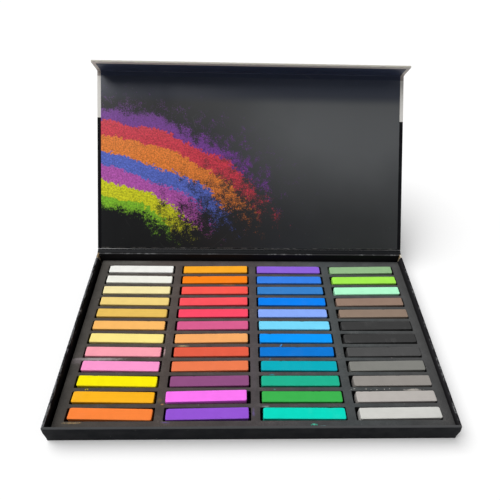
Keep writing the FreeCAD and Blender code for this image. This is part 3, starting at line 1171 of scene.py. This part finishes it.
@dataclass
class PaperHinges:
    """The two laminated paper strips that bend."""

    thickness: float = 0.4 * MM
    stations: int = 9
    end_margin: float = 0.3 * MM
    lap: float = 0.6 * MM
    face: float = -0.26 * MM
    lap_face: float = -0.29 * MM
    bend: float = 0.6 * MM
    inner_cosine: float = 0.2

    def strip(self, profile: Sequence[Vector], inside: Vector) -> BMesh:
        """Sheet swept across the box along a profile, then thickened away from the inside.

        Args:
            profile: Points in the plane x = 0, from one board to the other.
            inside: Direction that the strip's inner face looks.

        Returns:
            The closed strip. Its inner faces have material 1 between the side margins and 2 on them.
        """
        half = CASE_HALF - self.end_margin
        margin = CASE_HALF - LID_LEAF.liner_margin
        bm = bmesh.new()
        verts = [bm.verts.new((-half, p.y, p.z)) for p in profile]
        edges = [bm.edges.new(pair) for pair in zip(verts, verts[1:])]
        grown = bmesh.ops.extrude_edge_only(bm, edges=edges)
        moved = [g for g in grown["geom"] if isinstance(g, bmesh.types.BMVert)]
        bmesh.ops.translate(bm, vec=(2 * half, 0, 0), verts=moved)
        bmesh.ops.recalc_face_normals(bm, faces=bm.faces)
        if sum(face.normal.dot(inside) for face in bm.faces) < 0:
            bmesh.ops.reverse_faces(bm, faces=bm.faces)
        for side in (-1, 1):
            cut(bm, (side * margin, 0, 0), (1, 0, 0))
        bmesh.ops.solidify(bm, geom=list(bm.faces), thickness=self.thickness)
        bmesh.ops.recalc_face_normals(bm, faces=bm.faces)
        for face in bm.faces:
            if face.normal.dot(inside) > self.inner_cosine:
                face.material_index = 1 if abs(face.calc_center_median().x) < margin else 2
        return bm

    def lid_profile(self) -> list[Vector]:
        """From the tray's back rim, over the spine and the hinge valley, up to the lid's edge."""
        rise = RIM_Z + 0.15 * MM + self.thickness
        near = LID_LEAF.board_near
        return [
            Vector((0, TRAY_HIGH.y + 0.1 * MM, rise - 0.1 * MM)),
            Vector((0, TRAY_HIGH.y + 0.6 * MM, rise)),
            Vector((0, TRAY_HIGH.y + 1.5 * MM, rise + 0.05 * MM)),
            LID_LEAF.point(1.0 * MM, 0.1 * MM),
            LID_LEAF.point(1.9 * MM, -0.05 * MM),
            LID_LEAF.point(near - 0.55 * MM, -0.3 * MM),
            LID_LEAF.point(near - 0.12 * MM, -0.5 * MM),
        ]

    def flap_bend(self) -> tuple[Vector, Vector, Vector]:
        """The fold's start on the lid's face, its crease, and its end on the flap's face."""
        axis_along = (FLAP_LEAF.hinge - LID_LEAF.hinge).length
        reach = -self.face * math.tan(FLAP_ANGLE / 2)
        return (
            LID_LEAF.point(axis_along + reach - self.bend, self.face),
            LID_LEAF.point(axis_along + reach, self.face),
            FLAP_LEAF.point(self.bend - reach, self.face),
        )

    def flap_profile(self) -> list[Vector]:
        """Along the lid's printed face, round the tight fold and on over the flap's printed face."""
        start, crease, end = self.flap_bend()
        steps = [step / (self.stations - 1) for step in range(self.stations)]
        return [
            LID_LEAF.point(LID_LEAF.liner_far - self.lap, self.lap_face),
            LID_LEAF.point(LID_LEAF.liner_far - 0.1 * MM, self.face),
            *(start * (1 - t) ** 2 + crease * (2 * t * (1 - t)) + end * t ** 2 for t in steps),
            FLAP_LEAF.point(FLAP_LEAF.liner_near + 0.1 * MM, self.face),
            FLAP_LEAF.point(FLAP_LEAF.liner_near + self.lap, self.lap_face),
        ]

    def build(self) -> None:
        """Build and dress the strips, and bake their placing into their meshes."""
        black = WrapPaper("wrap_hinge", black=srgb(24, 25, 27)).build()
        pale = WrapPaper("wrap_fold", leaf=LID_LEAF).build()
        # painted shade: the fold's inner faces on the side margins take the darker pale
        pale_inside_shaded = WrapPaper("wrap_fold_inside", leaf=LID_LEAF, pale=FOLD_PALE_SHADED).build()
        lid_strip = dress(self.strip(self.lid_profile(), Vector((0, 0, 1))), "lid_hinge_strip", black, None,
                          ["lid_hinge"])
        for _ in range(2):
            lid_strip.data.materials.append(black)
        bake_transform(lid_strip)
        inward = LID_LEAF.point(-1, 1) - LID_LEAF.point(0, 0)
        flap_strip = dress(self.strip(self.flap_profile(), inward), "flap_hinge_strip", pale, None,
                           ["flap_hinge"])
        flap_strip.data.materials.append(LinerPrint("print_fold", FLAP_LEAF).build())
        flap_strip.data.materials.append(pale_inside_shaded)
        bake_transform(flap_strip)


@dataclass
class TrayAndFoam:
    """The wrapped tray, its inner facing, the magnets and the foam sheet."""

    pocket_round: float = 0.35 * MM
    facing: float = 0.15 * MM
    facing_drop: float = 0.5 * MM
    facing_round: float = 0.05 * MM
    facing_gap: float = 0.01 * MM
    facing_lift: float = 0.1 * MM
    lean_from: float = 0.5 * MM

    def tray(self) -> None:
        """Dress the tray, its side walls leaning in a little towards the front."""
        bm = merged_copy("tray")
        from_z = FOAM_HIGH.z + self.lean_from
        cut(bm, (0, 0, from_z), (0, 0, 1))
        for vert in bm.verts:
            height = max(0.0, (vert.co.z - from_z) / (RIM_Z - from_z))
            forward = (TRAY_HIGH.y - vert.co.y) / (TRAY_HIGH.y - TRAY_LOW.y)
            sideways = vert.co.x / TRAY_HIGH.x
            vert.co.x -= sideways * (TOE_IN_RIGHT if sideways > 0 else TOE_IN_LEFT) * height * forward
        dress(bm, "tray_shell", TrayWrap("wrap_tray").build(), Body.TRAY, ["tray"],
              smooth_deg=50.0)

    def front_facing(self) -> None:
        """Turned-in wrap on the front wall's inside, over the magnets."""
        inner = TRAY_LOW.y + WALL
        half = TRAY_HIGH.x - WALL - TOE_IN_RIGHT - self.facing_drop
        bm = block((-half, inner + self.facing_gap, FOAM_LOW.z + self.facing_lift),
                   (half, inner + self.facing, RIM_Z - self.facing_drop))
        round_edges(bm, bm.edges, self.facing_round, 2)
        finish = WrapPaper("wrap_facing", black=srgb(20, 20, 22), gloss=0.03).build()
        dress(bm, "tray_front_facing", finish, Body.TRAY)

    def magnets(self) -> None:
        """Give the magnets their plate."""
        plate = NickelPlate().build()
        for node in ("tray_magnets", "flap_magnets"):
            for slot in frame["nodes"][node].material_slots:
                slot.material = plate
            log.info("%s: plated", node)

    def foam(self) -> None:
        """Dress the foam sheet, the arrises of its pockets softened."""
        bm = merged_copy("foam_insert")
        round_edges(bm, [e for e in bm.edges if self._on_arris(e)], self.pocket_round, 2)
        dress(bm, "foam_sheet", FoamSheet("foam_grey", SMUDGES).build(), Body.TRAY,
              ["foam_insert"], smooth_deg=35.0)

    @staticmethod
    def _on_arris(edge: bmesh.types.BMEdge) -> bool:
        """Whether an edge joins the sheet's top face to a wall."""
        on_top = all(v.co.z >= FOAM_HIGH.z - TOP_TOUCH for v in edge.verts)
        flats = sum(face.normal.z > PARALLEL for face in edge.link_faces)
        return on_top and len(edge.link_faces) == 2 and flats == 1

    def build(self) -> None:
        """Build all of it."""
        self.tray()
        self.front_facing()
        self.magnets()
        self.foam()


@dataclass
class PastelSticks:
    """The loose sticks, one per pocket, each a little different."""

    length: float = 65.4 * MM
    width: float = 9.2 * MM
    height: float = 9.6 * MM
    arris: float = 0.45 * MM
    corner: float = 0.95 * MM
    sharp_deg: float = 60.0
    fade: float = 0.8 * MM
    stations: int = 26
    wobble: float = 0.05 * MM
    ripple_scale: float = 160.0
    skew: float = 0.05
    chips: int = 4
    chip_radii: tuple[float, float] = (1.0 * MM, 2.6 * MM)
    chip_depths: tuple[float, float] = (0.06 * MM, 0.3 * MM)
    seeds: tuple[float, float] = (0.0, 4.0)

    @property
    def half(self) -> Vector:
        """Half of each size."""
        return Vector((self.length, self.width, self.height)) / 2

    def bar(self) -> BMesh:
        """One bar about its own centre, with loops beside each rounded arris."""
        bm = block(-self.half, self.half)
        bmesh.ops.subdivide_edges(bm, edges=edges_along(bm, 0), cuts=self.stations, use_grid_fill=True)
        round_edges(bm, edges_along(bm, 2), self.corner, 2)
        sharp = [e for e in bm.edges if e.calc_face_angle(0.0) > math.radians(self.sharp_deg)]
        round_edges(bm, sharp, self.arris, 2)
        for axis in range(3):
            for side in (-1, 1):
                normal = Vector((0, 0, 0))
                normal[axis] = side
                cut(bm, normal * (self.half[axis] - self.arris - self.fade), normal)
        return bm

    def shape(self, bm: BMesh, rng: random.Random) -> None:
        """Mark the arrises, then wear them: a soft wobble, skewed ends and small chips.

        Args:
            bm: The bar.
            rng: This stick's own random draws.
        """
        half = self.half
        layer = bm.verts.layers.float.new("arris")
        offset = Vector((rng.uniform(0, 50), rng.uniform(0, 50), rng.uniform(0, 50)))
        skew = [(rng.uniform(-self.skew, self.skew), rng.uniform(-self.skew, self.skew)) for _ in range(2)]
        chips = [self._chip(rng) for _ in range(self.chips)]
        for vert in bm.verts:
            co = vert.co.copy()
            on_arris = sum(abs(co[i]) > half[i] - self.arris - TOUCH for i in range(3)) >= 2
            vert[layer] = float(on_arris)
            lean = skew[0] if co.x > 0 else skew[1]
            if abs(co.x) > half.x - self.arris - self.fade - TOUCH:
                vert.co.x -= math.copysign(abs(lean[0] * co.y + lean[1] * (co.z - half.z)), co.x)
            ripple = noise.noise(co * self.ripple_scale + offset) * self.wobble
            vert.co -= vert.normal * (self.wobble + ripple) * 0.5
            for centre, radius, depth in chips if on_arris else ():
                gap = (co - centre).length
                if gap < radius:
                    vert.co -= vert.normal * depth * (1 - (gap / radius) ** 2)

    def _chip(self, rng: random.Random) -> tuple[Vector, float, float]:
        """A chip on a top arris.

        Args:
            rng: The stick's draws.

        Returns:
            Its centre, radius and depth.
        """
        half = self.half
        at_end = rng.random() < 0.5
        x = math.copysign(half.x, rng.uniform(-1, 1)) if at_end else rng.uniform(-half.x, half.x)
        y = rng.choice((-1, 1)) * half.y
        return Vector((x, y, half.z)), rng.uniform(*self.chip_radii), rng.uniform(*self.chip_depths)

    def seat(self, node: str) -> Matrix:
        """Place and yaw of a stick, from its CAD node's own corners.

        Args:
            node: The CAD node.

        Returns:
            Matrix from the bar's axes to the box's.
        """
        source = frame["nodes"][node]
        points = [source.matrix_world @ v.co for v in source.data.vertices]
        centre = sum(points, Vector()) / len(points)
        right = [p for p in points if p.x > centre.x]
        left = [p for p in points if p.x <= centre.x]
        run = sum(right, Vector()) / len(right) - sum(left, Vector()) / len(left)
        middle = Vector((centre.x, centre.y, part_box(node)[0][2] + self.height / 2))
        return Matrix.Translation(middle) @ Matrix.Rotation(math.atan2(run.y, run.x), 4, "Z")

    def build(self) -> None:
        """Build every stick."""
        for column, pigments in enumerate(PIGMENT_COLUMNS, 1):
            for row, pigment in enumerate(pigments, 1):
                place = f"c{column}_r{row:02d}"
                node = "stick_" + place
                rng = random.Random(1000 * column + row)
                bm = self.bar()
                self.shape(bm, rng)
                bmesh.ops.transform(bm, matrix=self.seat(node), verts=bm.verts)
                finish = PressedPastel(
                    "pastel_" + pigment.name, pigment.colour, rng.uniform(*self.seeds), pigment.dust)
                dress(bm, "pastel_" + node, finish.build(), node, [node],
                      smooth_deg=45.0)


@dataclass(frozen=True)
class CrumbPatch:
    """A few crumbs of one pigment on the foam: place and reach in millimetres, and display levels."""

    name: str
    x: float
    y: float
    reach: float
    count: int
    levels: tuple[int, int, int]


@dataclass
class Crumbs:
    """Loose crumbs that broke off the sticks."""

    size: float = 0.45 * MM
    first_seed: int = 71
    spill: float = 0.5
    shares: tuple[float, float] = (0.35, 1.0)
    rise: float = 0.4
    lengths: tuple[float, float] = (0.8, 2.4)
    heights: tuple[float, float] = (0.5, 0.9)
    patches: tuple[CrumbPatch, ...] = (
        CrumbPatch("orange", -140, -83.7, 6, 12, (180, 150, 105)),
        CrumbPatch("yellow", -135, -56.0, 2.2, 6, (220, 205, 20)),
        CrumbPatch("teal", 46, -85.8, 3, 6, (60, 200, 170)),
        CrumbPatch("blue", 25.4, -14.6, 1.2, 4, (70, 160, 230)),
        CrumbPatch("white", 100, -56.6, 22, 8, (205, 200, 194)),
        CrumbPatch("amber", -22, 55.4, 5, 6, (215, 130, 40)),
    )

    def build(self) -> None:
        """Build each patch as one piece of tiny uneven lumps."""
        for index, patch in enumerate(self.patches):
            rng = random.Random(self.first_seed + index)
            bm = bmesh.new()
            for _ in range(patch.count):
                radius = self.size * rng.uniform(*self.shares)
                spot = Vector((
                    (patch.x + rng.uniform(-1, 1) * patch.reach) * MM,
                    (patch.y + rng.uniform(-self.spill, self.spill)) * MM,
                    FOAM_HIGH.z + self.rise * radius,
                ))
                turn = Euler((rng.uniform(0, 3), rng.uniform(0, 3), rng.uniform(0, 3))).to_matrix().to_4x4()
                stretch = Matrix.Diagonal((rng.uniform(*self.lengths), 1.0, rng.uniform(*self.heights), 1.0))
                bmesh.ops.create_icosphere(
                    bm, subdivisions=1, radius=radius, matrix=Matrix.Translation(spot) @ turn @ stretch)
            finish = PressedPastel("crumb_" + patch.name, srgb(*patch.levels), 0.3 * index).build()
            dress(bm, "crumbs_" + patch.name, finish, Body.TRAY, smooth_deg=20.0)


# ---- stage ----

@dataclass(frozen=True)
class Studio:
    """Pale floor, soft light from above and the viewing camera."""

    floor_half: float = 4.0
    floor_level: float = -0.1 * MM
    floor_lift: float = 0.07
    floor_shades: tuple[float, float] = (0.95, 0.97)
    floor_grain: float = 120.0
    sky: float = 0.24
    sun: float = 2.7
    sun_angle_deg: float = 50.0
    sun_from: tuple[float, float, float] = (-0.75, 0.28, 1.67)
    camera_place: tuple[float, float, float] = (-13.57 * MM, -224.72 * MM, 341.64 * MM)
    pitch_deg: float = 44.91
    yaw_deg: float = -2.29
    roll_deg: float = 1.99
    focal_mm: float = 30.87
    sensor_mm: float = 36.0
    clip_near: float = 0.01

    def floor(self) -> None:
        """Pale floor that takes the shadow."""
        tree = Surface("floor_white")
        _, shade = tree.grain(tree.place(), self.floor_grain)
        dark, light = ((level,) * 3 for level in self.floor_shades)
        seen = tree.make("ShaderNodeLightPath", {}, "Is Camera Ray")
        material = tree.finish(
            Base_Color=tree.mix(shade, dark, light), Roughness=0.9,
            Specular_IOR_Level=0.1, Emission_Color=(1.0, 1.0, 1.0),
            Emission_Strength=tree.times(seen, self.floor_lift))
        bm = bmesh.new()
        bmesh.ops.create_grid(bm, x_segments=1, y_segments=1, size=self.floor_half)
        bmesh.ops.translate(bm, vec=(0, 0, self.floor_level), verts=bm.verts)
        mesh = bpy.data.meshes.new("floor")
        bm.to_mesh(mesh)
        bm.free()
        mesh.materials.append(material)
        add_object("floor", mesh)

    def light(self) -> None:
        """Even sky, seen as white, and one broad sun."""
        world = bpy.data.worlds.new("studio")
        bpy.context.scene.world = world
        world.use_nodes = True
        tree = Tree(world.node_tree)
        lit = world.node_tree.nodes["Background"]
        tree.feed(lit.inputs["Color"], (1.0, 1.0, 1.0))
        tree.feed(lit.inputs["Strength"], self.sky)
        seen = tree.make("ShaderNodeBackground", {"Color": (1.0, 1.0, 1.0)})
        to_camera = tree.make("ShaderNodeLightPath", {}, "Is Camera Ray")
        blend = tree.make("ShaderNodeMixShader", {0: to_camera, 1: lit.outputs[0], 2: seen})
        tree.feed(world.node_tree.nodes["World Output"].inputs["Surface"], blend)
        lamp = bpy.data.lights.new("soft_sun", "SUN")
        lamp.energy = self.sun
        lamp.angle = math.radians(self.sun_angle_deg)
        sun = add_object("soft_sun", lamp)
        sun.rotation_euler = Vector(self.sun_from).to_track_quat("Z", "Y").to_euler()

    def camera(self) -> None:
        """The camera, set to the object's usual viewing angle."""
        data = bpy.data.cameras.new("camera")
        data.lens = self.focal_mm
        data.sensor_width = self.sensor_mm
        data.clip_start = self.clip_near
        camera = add_object("camera", data)
        pose = Matrix.Translation(self.camera_place)
        for degrees, axis in ((self.yaw_deg, "Z"), (90.0 - self.pitch_deg, "X"), (self.roll_deg, "Z")):
            pose @= Matrix.Rotation(math.radians(degrees), 4, axis)
        camera.matrix_world = pose
        bpy.context.scene.camera = camera

    def build(self) -> None:
        """Set the stage."""
        self.floor()
        self.light()
        self.camera()
        bpy.context.scene.view_settings.view_transform = "Standard"


def main() -> None:
    """Build every sub-assembly, each reporting its pieces."""
    logging.basicConfig(level=logging.INFO, format="%(name)s %(message)s")
    for assembly in (Studio, CaseBoards, Liners, PaperHinges, TrayAndFoam, PastelSticks, Crumbs):
        assembly().build()


if __name__ == "__main__":
    main()
